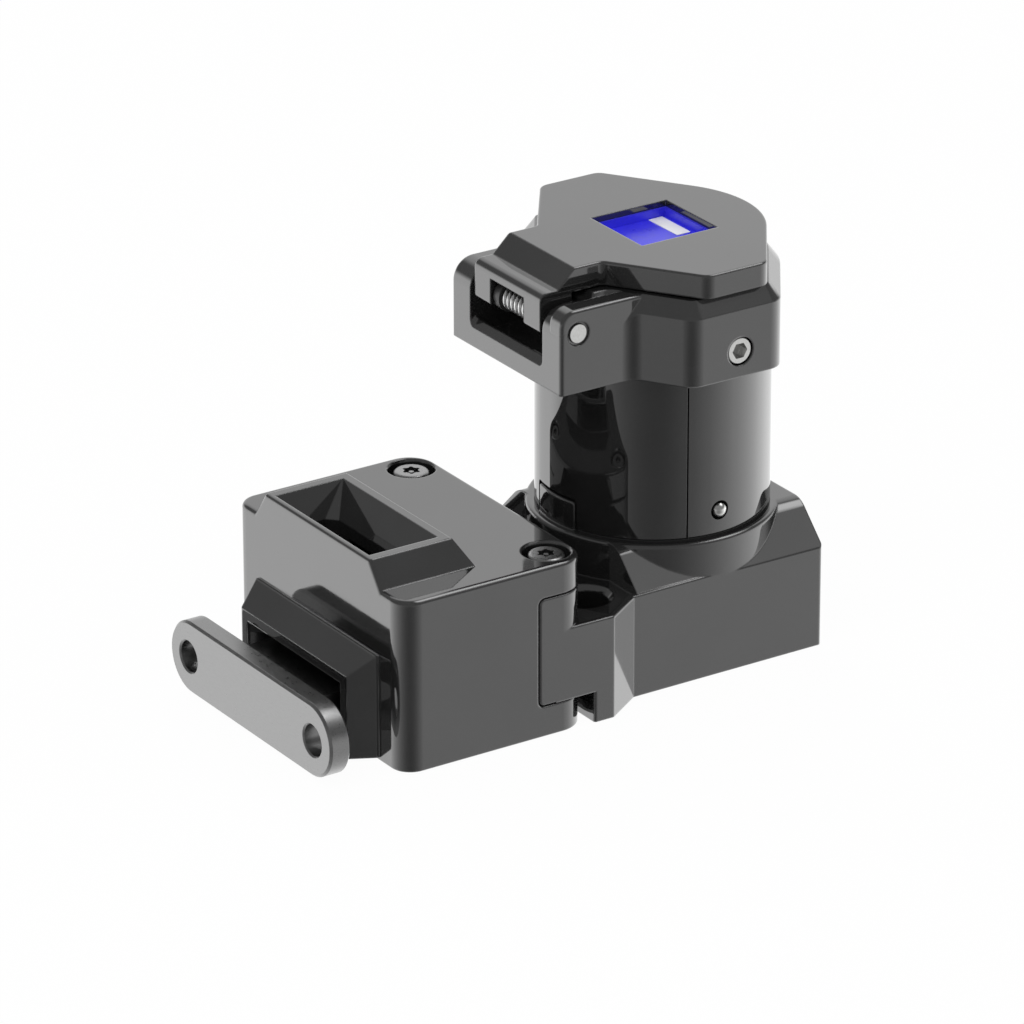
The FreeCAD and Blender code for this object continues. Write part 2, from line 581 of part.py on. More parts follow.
def barrel_tube():
    wide = rod("barrel_outer", "barrel_dia", "0", "0", "barrel_low", "barrel_high - barrel_low")
    wide = bevelled("barrel_foot", wide, lambda e: flat_at(e, size("barrel_low")), size("shell_edge"))
    skirt = rod("barrel_skirt", "barrel_dia - barrel_wall", "0", "0", "barrel_low - skirt_depth + fit",
                "skirt_depth + 1")
    hollow = rod("barrel_bore", "barrel_dia - 2 * barrel_wall", "0", "0", "0", "barrel_high + 1")
    pin_bore = rod("lock_pin_bore", "lock_pin_hole", "0", "-barrel_dia", "lock_pin_z", "2 * barrel_dia", "y")
    screw_seat_bore = rod("set_screw_dimple", "set_screw_dia", "0", "-barrel_dia", "set_screw_z",
                          "barrel_dia / 2 + set_screw_in", "y")
    return cut("barrel_tube", fuse("barrel_solid", wide, skirt), hollow, pin_bore, screw_seat_bore,
               mirror("set_screw_dimple_far", screw_seat_bore))


def sector(name, apex):
    """The front sector between the two seams."""
    run = "2 * barrel_dia"
    side, ahead = f"{run} * sin(seam_angle * 1deg)", f"{run} * cos(seam_angle * 1deg)"
    corners = [(apex, "0"), (f"{apex} + {ahead}", side), ("-3 * barrel_dia", side),
               ("-3 * barrel_dia", f"-{side}"),
               (f"{apex} + {ahead}", f"-{side}")]
    return prism(name, corners, "0", "barrel_high + 1")


def make_barrel():
    tube = barrel_tube()
    notch = box("lug_notch", "-barrel_dia", "0", "-lug_half - lug_gap", "lug_half + lug_gap", "0",
                "lug_high + lug_gap")
    notch = rounded("lug_notch_corners", notch,
                    lambda e: lengthwise(e) and e.BoundBox.ZMax > size("lug_high"),
                    size("lug_notch_corner"))
    front = cut("shell_front_cut", common("shell_front_piece", tube, sector("front_sector", "-seam_gap")),
                notch)
    keep("barrel_shell_front", front)
    keep("barrel_shell_rear", cut("shell_rear_cut", tube, sector("rear_sector", "0")))
    ring = rod("gasket_ring", "barrel_dia - 2 * shell_edge", "0", "0", "boss_height",
               "barrel_low - boss_height")
    hole = rod("gasket_hole", "barrel_dia - barrel_wall + 2 * fit", "0", "0", "boss_height - 1", "3")
    gap = box("gasket_gap", "-barrel_dia", "0", "-lug_half - lug_gap", "lug_half + lug_gap", "0",
              "barrel_high")
    keep("barrel_gasket", cut("barrel_gasket", ring, hole, gap))


def make_lock_pins():
    shank = rod("lock_pin_shank", "lock_pin_dia", "0", "-barrel_dia / 2 + lock_pin_in", "lock_pin_z",
                "lock_pin_long", "y")
    dome = doc.addObject("Part::Sphere", "lock_pin_dome")
    bind(dome, Radius="lock_pin_dia / 2")
    place(dome, y="-barrel_dia / 2 + lock_pin_in", z="lock_pin_z")
    keep("lock_pins", both("lock_pins", fuse("lock_pin", shank, dome)))


# Actuator

def rounded_bar(name, half, height, x, depth):
    """A flat bar with round ends, standing across X."""
    straight = f"({half}) - ({height}) / 2"
    bar = box(name + "_bar", x, f"{x} + {depth}", f"-({straight})", straight, f"plate_z - ({height}) / 2",
              f"plate_z + ({height}) / 2")
    end = rod(name + "_end", height, x, f"-({straight})", "plate_z", depth, "x")
    return fuse(name, bar, end, mirror(name + "_end_far", end))


def make_actuator():
    blank = rounded_bar("plate_blank", "plate_half", "plate_height", "-plate_front", "plate_thick")
    plate = bevelled("plate_edges", blank, lambda e: near(e.BoundBox.XLength, 0), size("plate_edge"))
    hole = rod("plate_bore", "plate_hole", "-plate_front - 1", f"-{PLATE_HOLE_Y}", "plate_z", "plate_thick + 2",
               "x")
    rim = cone("plate_rim", "plate_hole + 2 * hole_edge", "plate_hole", "-plate_front", f"-{PLATE_HOLE_Y}",
               "plate_z",
               "hole_edge", "x")
    holes = both("plate_holes", fuse("plate_hole_near", hole, rim))
    tongue = box("tongue_bar", "-plate_front + plate_thick - 0.5", "-tongue_end", "-tongue_half",
                 "tongue_half",
                 "plate_z - tongue_height / 2", "plate_z + tongue_height / 2")
    nose = bevelled("tongue_edges", tongue, lambda e: near(e.BoundBox.XMin, -size("tongue_end")),
                    size("tongue_nose"))
    slot = box("tongue_slot", "-tongue_slot_front", "-tongue_slot_front + tongue_slot_long",
               "-tongue_slot_half",
               "tongue_slot_half", "0", "plate_height + plate_z")
    keep("actuator", cut("actuator", fuse("actuator_blank", plate, nose), holes, slot))


# Latch cam

def coil(name, mean_dia, wire, pitch, turns, x, y, z):
    """A coil about an axis along Y, wound towards -Y from a start at its top."""
    path = doc.addObject("Part::Helix", name + "_path")
    bind(path, Radius=f"({mean_dia}) / 2", Pitch=pitch, Height=f"({pitch}) * ({turns})")
    place(path, x, y, z, Rotation(Vector(0, 1, 0), -90) * Rotation(Vector(1, 0, 0), 90))
    profile = doc.addObject("Part::Circle", name + "_wire")
    bind(profile, Radius=f"({wire}) / 2")
    place(profile, x, y, f"{z} + ({mean_dia}) / 2", ALONG["x"])
    sweep = doc.addObject("Part::Sweep", name)
    sweep.Sections = [profile]
    sweep.Spine = (path, [])
    sweep.Solid = True
    sweep.Frenet = True
    return sweep


def cam_notch():
    """Room for the bolt's nose when it is thrown into the cam."""
    return box("cam_notch", "-bolt_nose - bolt_travel - cam_clear", "-cam_x + cam_disc", "-cam_half - 1",
               "cam_half + 1",
               "nose_low - cam_clear", "nose_high + cam_clear")


def make_cam():
    disc = rod("cam_disc_blank", "cam_disc", "-cam_x", "-cam_half", "cam_z", "2 * cam_half", "y")
    finger = side_prism("cam_finger", [("-cam_x - finger_root", "cam_z - cam_disc / 3"),
                                       ("-cam_x - finger_tip", "cam_z - finger_reach"),
                                       ("-cam_x + finger_tip", "cam_z - finger_reach"),
                                       ("-cam_x + finger_root", "cam_z - cam_disc / 3")], "finger_half")
    notch = cam_notch()
    turned = group("cam_notch_turned", notch)
    turned.setExpression("Placement", formula("placement(vector(0; 0; 0); rotation(vector(0; 1; 0); "
                                              "-actuator_travel / (cam_z - plate_z) * 180 / pi); "
                                              "vector(-cam_x; 0; cam_z))"))
    bore = rod("cam_bore", "cam_shaft_dia + fit", "-cam_x", "-cam_half - 1", "cam_z", "2 * cam_half + 2", "y")
    keep("latch_cam", cut("latch_cam", fuse("cam_blank", disc, finger), notch, turned, bore))
    keep("cam_shaft", rod("cam_shaft", "cam_shaft_dia", "-cam_x", "-shaft_half", "cam_z", "2 * shaft_half",
                          "y"))
    turns = coil("cam_turns", "cam_coil", "cam_wire", "cam_coil_pitch", "cam_coil_turns", "-cam_x",
                 "cam_coil_start",
                 "cam_z")
    leg = rod("cam_leg", "cam_wire", "-cam_x", "cam_coil_start", "cam_z + cam_coil / 2",
              "cam_x - chamber_rear - tongue_gap", "x")
    keep("cam_spring", fuse("cam_spring", turns, leg))


# Slide bolt and its cover

def make_bolt():
    bar = box("bolt_bar", "-bolt_step", "bolt_end", "-bolt_half", "bolt_half", "bolt_low", "bolt_high")
    riser = box("bolt_riser", "-bolt_step", "-riser_rear", "-nose_half", "nose_half", "bolt_low", "nose_high")
    nose = box("bolt_nose_bar", "-bolt_nose", "-riser_rear", "-nose_half", "nose_half", "nose_low",
               "nose_high")
    nose = bevelled("bolt_nose_edges", nose, lambda e: near(e.BoundBox.XMax, -size("bolt_nose")),
                    size("cast_edge"))
    slot = box("bolt_yoke", "bolt_travel / 2 - crank_pin / 2 - yoke_play",
               "bolt_travel / 2 + crank_pin / 2 + yoke_play",
               "bolt_travel / 2 - crank_pin / 2 - yoke_play", "bolt_half + 1", "0", "channel_high")
    keep("slide_bolt", cut("slide_bolt", fuse("bolt_blank", bar, riser, nose), slot))


def make_cover():
    plate = box("cover_plate", "-cover_front + fit", "cover_back - fit", "-cover_half + fit",
                "cover_half - fit",
                "0", "cover_thick - fit")
    rail = box("cover_rail", "-rail_front", "channel_end - fit", "-rail_half", "-rail_half + rail_wide",
               "cover_thick - 2 * fit", "bolt_low - rail_gap")
    tools = []
    for number, (x, y) in enumerate(cover_screw_places()):
        tools.append(rod(f"cover_hole_{number}", "cover_screw_dia + 2 * fit", x, y, "-1", "cover_thick + 2"))
        tools.append(cone(f"cover_sink_{number}", "cover_screw_head + 2 * fit", "cover_screw_dia + 2 * fit",
                          x, y, "0",
                          "(cover_screw_head - cover_screw_dia) / 2"))
    keep("body_cover", cut("body_cover", fuse("cover_blank", plate, rail, mirror("cover_rail_far", rail)),
                           *tools))


def cover_screw(number, x, y):
    head = "(cover_screw_head - cover_screw_dia) / 2"
    top = cone(f"cover_screw_head_{number}", "cover_screw_head", "cover_screw_dia", x, y, "0", head)
    shank = rod(f"cover_screw_shank_{number}", "cover_screw_dia", x, y, head, f"cover_screw_long - {head}")
    slot = socket(f"cover_screw_socket_{number}", "cover_screw_dia / 2", x, y, "-0.5",
                  "cover_screw_dia / 2 + 0.5")
    return cut(f"cover_screw_{number}", fuse(f"cover_screw_blank_{number}", top, shank), slot)


def socket(name, across, x, y, z, depth, turn=None):
    """A six-sided hole."""
    prism_solid = doc.addObject("Part::Prism", name)
    prism_solid.Polygon = 6
    bind(prism_solid, Circumradius=f"({across}) / sqrt(3)", Height=depth)
    return place(prism_solid, x, y, z, turn)


def head_screw():
    """A pan-head screw with a six-lobed drive and a pin in its middle."""
    seat = "head_height - recess_depth"
    head = rod("screw_head_disc", "screw_head", "-screw_x", f"-{SCREW_Y}", seat, "screw_head_high")
    doc.recompute()
    top = size("head_height") - size("recess_depth") + size("screw_head_high")
    head = rounded("screw_head_dome", head, lambda e: flat_at(e, top), size("screw_head_high") / 3)
    shank = rod("screw_shank", "screw_dia", "-screw_x", f"-{SCREW_Y}", f"{seat} - screw_long", "screw_long + 1")
    middle = rod("star_middle", "2 * star_reach", "-screw_x", f"-{SCREW_Y}",
                 f"{seat} + screw_head_high - star_depth",
                 "star_depth + 1")
    lobes = []
    for number in range(6):
        angle = f"{60 * number} * 1deg"
        lobes.append(rod(f"star_lobe_{number}", "2 * star_lobe", f"-screw_x + star_reach * cos({angle})",
                         f"-{SCREW_Y} + star_reach * sin({angle})", f"{seat} + screw_head_high - star_depth",
                         "star_depth + 1"))
    pin = rod("star_pin", "2 * star_pin", "-screw_x", f"-{SCREW_Y}",
              f"{seat} + screw_head_high - star_depth - 0.5",
              "star_depth + 0.2")
    return fuse("head_screw", cut("screw_driven", fuse("screw_blank", head, shank), middle, *lobes), pin)


# Key core and crank

def make_core():
    blank = rod("core_blank", "barrel_dia - 2 * barrel_wall - 2 * core_gap", "0", "0", "core_low",
                "core_high - core_low")
    pocket = rod("rotor_pocket", "rotor_bore", "0", "0", "core_floor", "core_high")
    bore = rod("core_bore", "shaft_dia + 2 * shaft_fit", "0", "0", "0", "core_high")
    wide = rod("core_hollow", "barrel_dia - 2 * barrel_wall - 2 * core_wall", "0", "0", "core_low - 1",
               "core_roof - core_low + 1")
    tube = rod("core_tube_keep", "core_tube", "0", "0", "0", "core_high")
    pins = both("pin_sockets", rod("pin_socket", "lock_pin_dia + fit", "0", "-barrel_dia / 2", "lock_pin_z",
                                   "barrel_wall + core_wall + 1", "y"))
    keep("key_core", cut("key_core", blank, pocket, bore, cut("core_ring", wide, tube), pins))


def make_rotor():
    blank = rod("rotor_blank", "rotor_dia", "0", "0", "rotor_low", "rotor_high - rotor_low")
    blank = bevelled("rotor_edges", blank, lambda e: flat_at(e, size("rotor_high")), size("cast_edge"))
    slot = box("key_slot", "-key_long / 2", "key_long / 2", "-key_wide / 2", "key_wide / 2",
               "rotor_high - key_deep",
               "rotor_high + 1")
    round_hole = rod("key_post_hole", "key_round", "0", "0", "rotor_high - key_deep", "key_deep + 1")
    keep("key_rotor", cut("key_rotor", blank, slot, round_hole))
    plate = rod("key_plate_blank", f"2 * {CAP_MOUTH} - 2 * core_gap", "0", "0", "core_high",
                "key_plate_thick")
    hole = rod("key_plate_bore", "key_plate_hole", "0", "0", "core_high - 1", "key_plate_thick + 2")
    keep("key_plate", cut("key_plate", plate, hole))


def make_crank():
    disc = rod("crank_plate", CRANK_DISC, "0", "0", "crank_low", "crank_thick")
    shaft = rod("crank_post", "shaft_dia", "0", "0", "crank_low", "rotor_low - crank_low")
    pin = rod("crank_pin_post", "crank_pin", "bolt_travel / 2", "bolt_travel / 2",
              "crank_low - crank_pin_long",
              "crank_pin_long + 1")
    keep("crank_shaft", fuse("crank_shaft", disc, shaft, pin))
    ring = rod("clip_ring", "clip_dia", "0", "0", "barrel_low - skirt_depth + clip_gap", "clip_thick")
    hole = rod("clip_bore", "shaft_dia + fit", "0", "0", "0", "core_high")
    mouth = box("clip_opening", "0", "clip_dia", "-clip_mouth / 2", "clip_mouth / 2", "0", "core_high")
    keep("shaft_clip", cut("shaft_clip", ring, hole, mouth))


# Hinge cap

def rounded_plan(name, corners, level):
    """A flat face whose corners are (x, y, radius)."""
    count = len(corners)
    arcs = []
    for index, (x, y, radius) in enumerate(corners):
        corner = Vector(x, y, level)
        before, after = corners[index - 1], corners[(index + 1) % count]
        back = (Vector(before[0], before[1], level) - corner).normalize()
        ahead = (Vector(after[0], after[1], level) - corner).normalize()
        half = back.getAngle(ahead) / 2
        middle = (back + ahead).normalize()
        reach = radius / math.tan(half)
        arcs.append(Part.Arc(corner + back * reach, corner + middle * (radius / math.sin(half) - radius),
                             corner + ahead * reach))
    edges = []
    for index, arc in enumerate(arcs):
        edges.append(arc.toShape())
        edges.append(Part.LineSegment(arc.EndPoint, arcs[(index + 1) % count].StartPoint).toShape())
    plan = doc.addObject("Part::Feature", name)
    plan.Shape = Part.Face(Part.Wire(edges))
    return plan


def mirrored_corners(near_side):
    """Corners of the -Y side followed by their twins on the other side."""
    far_side = [(x, -y, radius) for x, y, radius in reversed(near_side) if y]
    return near_side + far_side


def flank_end(half, reach):
    """Where a side meets the flank that runs round the +X end, and where the two flanks meet."""
    angle = math.radians(size("flank_angle"))
    return (reach - half * math.sin(angle)) / math.cos(angle), reach / math.cos(angle)


def cap_shoulder():
    """The two ends of the shoulder that runs from an arm out to the cap's side, on the -Y side."""
    radius = size("barrel_dia") / 2
    return (Vector(size("root_inset") - radius, size("arm_inset") - radius, size("cap_side_high")),
            Vector(size("shoulder_inset") - radius, -radius - size("cap_side_wall"), size("cap_side_high")))


def cap_corners(root, blend):
    """The cap's plan, with the shoulder's root at a place and blended by a radius."""
    radius, corner = size("barrel_dia") / 2, size("cap_corner")
    half, reach = radius + size("cap_side_wall"), radius + size("cap_end_wall")
    side_end, tip = flank_end(half, reach)
    near_side = [(-radius - size("well_wall"), root.y, 0.5), (root.x, root.y, blend),
                 (cap_shoulder()[1].x, -half, corner), (side_end, -half, corner), (tip, 0, reach)]
    return mirrored_corners(near_side)


def shoulder_slope():
    """What the shoulder's slope cuts off the blend beside the arm, as its plane runs on below the crown."""
    root, corner = cap_shoulder()
    along = (corner - root).normalize()
    outward = along.cross(Vector(0, 0, 1))
    lean = math.radians(size("cap_slope"))
    face = outward * math.cos(lean) + Vector(0, 0, math.sin(lean))
    tool = doc.addObject("Part::Box", "shoulder_slope")
    bind(tool, Length="3 * root_blend", Width="3 * root_blend", Height="root_blend")
    turn = Rotation(along, face.cross(along), face, "ZXY")
    tool.Placement = Placement(root - along * size("root_blend") * 2.5 - face.cross(along) * size("root_blend"), turn)
    return tool


def arm_shape(name, y0, y1, low, high, roundness):
    """A block along the arms, round at its top front, with soft edges on its outer sides."""
    front = -size("barrel_dia") / 2 - size("hinge_out") - size("arm_nose")
    side = size("barrel_dia") / 2 - size("arm_inset")
    block = box(name, f"-{ARM_FRONT}", "-arm_back", y0, y1, low, high)
    nose = rounded(name + "_round", block, lambda e: near(e.BoundBox.XMax, front) and flat_at(e, size(high)),
                   size(roundness))
    return rounded(name + "_edges", nose,
                   lambda e: near(abs(e.BoundBox.YMin), side) and near(e.BoundBox.YLength, 0)
                   and not flat_at(e, size("cap_low")) and e.BoundBox.XMin < -size("arm_back"),
                   size("arm_edge"))


def cap_solid():
    root, corner = cap_shoulder()
    plan = rounded_plan("cap_plan", cap_corners(root, size("root_blend")), size("cap_low"))
    slope = shoulder_slope()
    low = cut("cap_collar", extrude("cap_collar_block", plan, "cap_side_high - cap_low"), slope,
              mirror("shoulder_slope_far", slope))
    hidden = root + (root - corner) * (size("crown_inset") / (root.y - corner.y))
    crown_plan = rounded_plan("crown_plan", cap_corners(hidden, size("cast_edge")), size("cap_side_high"))
    high = extrude("cap_crown", crown_plan, "cap_high - cap_side_high", taper="-cap_slope")
    arms = arm_shape("arm_block", f"-{ARM_HALF}", ARM_HALF, "cap_low", "arm_high", "arm_round")
    rib = arm_shape("arm_rib", f"-{ARM_HALF}", f"-{ARM_HALF} + rib_wide", "hinge_z", "cap_high", "rib_round")
    return fuse("cap_solid", low, high, arms, rib)


def hinge_well():
    inner = f"({ARM_HALF} - arm_thick)"
    well = box("hinge_well", f"-{ARM_FRONT} + sill_thick", f"-{WELL_REAR}", f"-{inner}", inner, "well_floor",
               "cap_high + 1")
    front = side_prism("hinge_mouth", [(f"-{ARM_FRONT} - 1", "sill_high - sill_slope - 1"),
                                       (f"-{ARM_FRONT} + sill_slope", "sill_high"),
                                       (f"-{ARM_FRONT} + sill_thick + 1", "sill_high"),
                                       (f"-{ARM_FRONT} + sill_thick + 1", "cap_high + 1"),
                                       (f"-{ARM_FRONT} - 1", "cap_high + 1")], inner)
    front = rounded("hinge_mouth_corners", front, lambda e: near(e.BoundBox.YLength, 0)
                    and e.BoundBox.ZMax < size("sill_high") + 0.01, size("mouth_corner"))
    return [well, front]


def make_cap():
    bore = rod("cap_bore", "barrel_dia + 2 * core_gap", "0", "0", "cap_low - 1",
               "barrel_high + core_gap - cap_low + 1")
    mouth = rod("cap_mouth", f"2 * {CAP_MOUTH}", "0", "0", "cap_low", "cap_high")
    pin = rod("hinge_bore", "pin_dia + 2 * pin_fit", f"-{HINGE_X}", f"-{ARM_HALF} - 1", "hinge_z",
              f"2 * {ARM_HALF} + 2", "y")
    ring = both("hinge_rings", rod("hinge_ring", "pin_ring", f"-{HINGE_X}", f"-{ARM_HALF} - 1", "hinge_z",
                                   "ring_depth + 1", "y"))
    screw = both("set_bores", rod("set_bore", "set_screw_dia + 2 * set_screw_gap", "0", f"-{CAP_HALF} - 1",
                                  "set_screw_z", CAP_HALF, "y"))
    keep("hinge_cap", cut("hinge_cap", cap_solid(), bore, mouth, pin, ring, screw, *hinge_well()))
    keep("hinge_pin", rod("hinge_pin", "pin_dia", f"-{HINGE_X}", f"-{ARM_HALF} + pin_fit", "hinge_z",
                          f"2 * {ARM_HALF} - 2 * pin_fit", "y"))
    make_set_screws()


def make_set_screws():
    blank = rod("set_screw_blank", "set_screw_dia", "0", f"-{CAP_HALF} + set_screw_in", "set_screw_z",
                "cap_side_wall - 0.2 * set_screw_in", "y")
    blank = bevelled("set_screw_edge", blank, lambda e: near(e.BoundBox.YLength, 0),
                     0.8 * size("set_screw_in"))
    drive = socket("set_screw_socket", "set_screw_hex", "0", f"-{CAP_HALF}", "set_screw_z", "set_screw_deep",
                   ALONG["y"])
    keep("set_screws", both("set_screws", cut("set_screw", blank, drive)))


# Lid

def leaf_front():
    return -size("barrel_dia") / 2 - size("hinge_out") - size("leaf_nose")


def lid_plate():
    radius, corner = size("barrel_dia") / 2, size("lid_corner")
    half = radius + size("cap_side_wall") - size("lid_inset")
    reach = radius + size("cap_end_wall") - size("lid_end_inset")
    neck = radius - size("arm_inset") - size("arm_thick") - size("neck_gap")
    side_end, tip = flank_end(half, reach)
    near_side = [(leaf_front(), -neck, 0.3), (size("neck_inset") - radius, -neck, size("neck_root")),
                 (size("lid_shoulder_inset") - radius, -half, corner), (side_end, -half, corner),
                 (tip, 0, reach)]
    plan = rounded_plan("lid_plan", mirrored_corners(near_side), size("lid_low"))
    plate = extrude("lid_plate", plan, "lid_high - lid_low")
    top = rounded("lid_top_edge", plate, lambda e: flat_at(e, size("lid_high")), size("lid_edge"))
    ridge = f"-{HINGE_X} + ridge_behind"
    slope = side_prism("lid_slope", [(ridge, "lid_high"), (f"-{HINGE_X} + shelf_behind", "shelf_z"),
                                     (f"-{ARM_FRONT} - 5", "shelf_z"), (f"-{ARM_FRONT} - 5", "lid_high + 5"),
                                     (ridge, "lid_high + 5")], CAP_HALF)
    return cut("lid_sloped", top, slope)


def make_lid():
    leaf = box("lid_leaf", f"-{HINGE_X} - leaf_nose", f"-{HINGE_X} + leaf_behind", f"-{NECK_HALF}", NECK_HALF,
               "leaf_low", "shelf_z")
    leaf = rounded("leaf_bottom", leaf, lambda e: flat_at(e, size("leaf_low")) and near(e.BoundBox.XLength,
                                                                                        0),
                   size("leaf_round"))
    solid = fuse("lid_blank", lid_plate(), leaf)
    nose = rounded("lid_nose", solid, lambda e: near(e.BoundBox.XMin, leaf_front())
                   and near(e.BoundBox.XMax, leaf_front()) and flat_at(e, size("shelf_z")),
                   size("nose_round"))
    notch = box("lid_notch", f"-{HINGE_X} - leaf_nose - 1", f"-{HINGE_X} + leaf_behind + 1", "-notch_right",
                "notch_left", "leaf_low - 1", "notch_high")
    pin = rod("lid_bore", "pin_dia + 2 * pin_fit", f"-{HINGE_X}", f"-{ARM_HALF}", "hinge_z",
              f"2 * {ARM_HALF}", "y")
    window = box("lid_window", "-window / 2", "window / 2", "-window / 2", "window / 2",
                 "lid_high - window_deep",
                 "lid_high + 1")
    inner = f"2 * ({CAP_MOUTH} + seal_start)"
    outer = f"({inner} + 2 * seal_wide)"
    groove = cut("seal_groove", rod("groove_disc", outer, "0", "0", "lid_low - 1", "seal_in + 1"),
                 rod("groove_core", inner, "0", "0", "lid_low - 2", "seal_in + 4"))
    keep("lid", cut("lid", nose, notch, pin, window, groove))
    seal = cut("lid_seal", rod("seal_disc", f"{outer} - fit", "0", "0", "lid_low - seal_drop",
                               "seal_drop + seal_in - fit / 2"),
               rod("seal_core", f"{inner} + fit", "0", "0", "lid_low - 2", "seal_in + 4"))
    keep("lid_seal", seal)


def make_label():
    reach, floor = "(window / 2 - tray_gap)", "(lid_high - window_deep)"
    inner = f"({reach} - tray_wall)"
    outer = box("tray_outer", f"-{reach}", reach, f"-{reach}", reach, floor, f"{floor} + tray_high")
    pocket = box("tray_pocket", f"-{inner}", inner, f"-{inner}", inner, f"{floor} + tray_floor", "lid_high")
    keep("label_tray", cut("label_tray", outer, pocket))
    keep("label_strip", box("label_strip", "strip_x - strip_wide / 2", "strip_x + strip_wide / 2",
                            "strip_y - strip_long / 2", "strip_y + strip_long / 2", f"{floor} + tray_floor",
                            f"{floor} + tray_floor + strip_thick"))


def make_lid_spring():
    mean = "(coil_dia - coil_wire)"
    turns = coil("lid_coil", mean, "coil_wire", "coil_pitch", "coil_turns", f"-{HINGE_X}", "coil_start",
                 "hinge_z")
    reach = "hinge_out - well_wall - leg_gap"
    lid_leg = rod("spring_leg_lid", "coil_wire", f"-{HINGE_X}", "coil_start", f"hinge_z + {mean} / 2", reach,
                  "x")
    cap_leg = rod("spring_leg_cap", "coil_wire", f"-{HINGE_X}", "coil_start - coil_pitch * coil_turns",
                  f"hinge_z - {mean} / 2", reach, "x")
    keep("lid_spring", fuse("lid_spring", turns, lid_leg, cap_leg))
    tube = rod("spacer_tube", "spacer_dia", f"-{HINGE_X}", "notch_left - spacer_gap - spacer_long", "hinge_z",
               "spacer_long", "y")
    hole = rod("spacer_bore", "pin_dia + 2 * fit", f"-{HINGE_X}", f"-{ARM_HALF}", "hinge_z",
               f"2 * {ARM_HALF}", "y")
    keep("spring_spacer", cut("spring_spacer", tube, hole))


def finish():
    doc.recompute()
    for thing in doc.Objects:
        if "Invalid" in thing.State or "Error" in thing.State:
            raise RuntimeError(f"{thing.Name} is not built: {thing.State}")
    os.makedirs("parts", exist_ok=True)
    for thing in made:
        shape = thing.Shape
        if shape.isNull() or not shape.isValid() or not shape.Solids:
            raise RuntimeError(f"{thing.Label} has no valid solid")
        shape.exportStep(f"parts/{thing.Label}.step")
        print(f"{thing.Label:24s} solids {len(shape.Solids)} volume {shape.Volume:10.1f}")


make_head()
keep("head_screws", both("head_screws", head_screw()))
make_actuator()
make_cam()
make_body()
make_bolt()
make_cover()
keep("cover_screws", group("cover_screws", *[cover_screw(number, x, y)
                                             for number, (x, y) in enumerate(cover_screw_places())]))
make_barrel()
make_lock_pins()
make_core()
make_rotor()
make_crank()
make_cap()
make_lid()
make_label()
make_lid_spring()
finish()
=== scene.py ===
import json
import math

import bpy
from mathutils import Matrix, Vector

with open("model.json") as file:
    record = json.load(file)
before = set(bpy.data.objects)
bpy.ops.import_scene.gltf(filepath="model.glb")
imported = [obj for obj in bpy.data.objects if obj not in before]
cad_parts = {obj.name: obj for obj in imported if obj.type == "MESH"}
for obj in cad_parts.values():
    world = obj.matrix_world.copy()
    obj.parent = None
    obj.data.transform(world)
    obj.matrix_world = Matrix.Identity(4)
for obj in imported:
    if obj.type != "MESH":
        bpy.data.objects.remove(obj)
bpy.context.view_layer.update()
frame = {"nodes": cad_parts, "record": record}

# The camera stands where the photograph's does, in the frame of the part.
CAMERA_PLACE = Vector((-0.7845, -1.1405, 0.6325))
CAMERA_AZIMUTH = math.radians(-33.295)
CAMERA_ELEVATION = math.radians(23.632)
CAMERA_ROLL = math.radians(-0.081)
CAMERA_LENS = 250.6
CAMERA_SENSOR = 36.0
CAMERA_REACH = 20.0

FLOOR_SIZE = 6.0
FLOOR_GAP = 0.0002
FLOOR_TONES = (0.83, 0.85)
# How much of the floor is plain white to the camera. The rest takes shadows.
FLOOR_GLOW = 0.97

# Edges are rounded in shading by an average of this many rays.
EDGE_SAMPLES = 6
ENAMEL_IOR = 2.0


def add_camera():
    """A long lens with no shift, level apart from the photograph's slight roll."""
    flat = math.cos(CAMERA_ELEVATION)
    back = Vector((
        math.sin(CAMERA_AZIMUTH) * flat,
        -math.cos(CAMERA_AZIMUTH) * flat,
        math.sin(CAMERA_ELEVATION),
    ))
    right = Vector((math.cos(CAMERA_AZIMUTH), math.sin(CAMERA_AZIMUTH), 0.0))
    up = back.cross(right)
    turn = Matrix((right, up, back)).transposed() @ Matrix.Rotation(CAMERA_ROLL, 3, "Z")
    data = bpy.data.cameras.new("camera")
    data.lens = CAMERA_LENS
    data.sensor_width = CAMERA_SENSOR
    data.clip_end = CAMERA_REACH
    camera = bpy.data.objects.new("camera", data)
    camera.matrix_world = Matrix.Translation(CAMERA_PLACE) @ turn.to_4x4()
    bpy.context.scene.collection.objects.link(camera)
    bpy.context.scene.camera = camera


class Nodes:
    """A node tree with short ways to add to it."""

    def __init__(self, tree):
        self.tree = tree

    def add(self, kind, **settings):
        node = self.tree.nodes.new(kind)
        for name, value in settings.items():
            setattr(node, name, value)
        return node

    def link(self, output, socket):
        self.tree.links.new(output, socket)

    def feed(self, value, socket):
        """Gives a socket a plain number, or another node's output."""
        if isinstance(value, (int, float)):
            socket.default_value = value
        else:
            self.link(value, socket)

    def product(self, first, second):
        node = self.add("ShaderNodeMath", operation="MULTIPLY")
        self.feed(first, node.inputs[0])
        self.feed(second, node.inputs[1])
        return node.outputs[0]

    def blend(self, factor, first, second):
        """A number between two others."""
        node = self.add("ShaderNodeMix", data_type="FLOAT")
        self.feed(factor, node.inputs[0])
        self.feed(first, node.inputs[2])
        self.feed(second, node.inputs[3])
        return node.outputs[0]

    def ramp(self, value, start, end, low, high, smooth=False):
        """Maps start to end onto low to high."""
        node = self.add("ShaderNodeMapRange", interpolation_type="SMOOTHSTEP" if smooth else "LINEAR")
        self.feed(value, node.inputs["Value"])
        for name, number in (("From Min", start), ("From Max", end), ("To Min", low), ("To Max", high)):
            node.inputs[name].default_value = number
        return node.outputs["Result"]


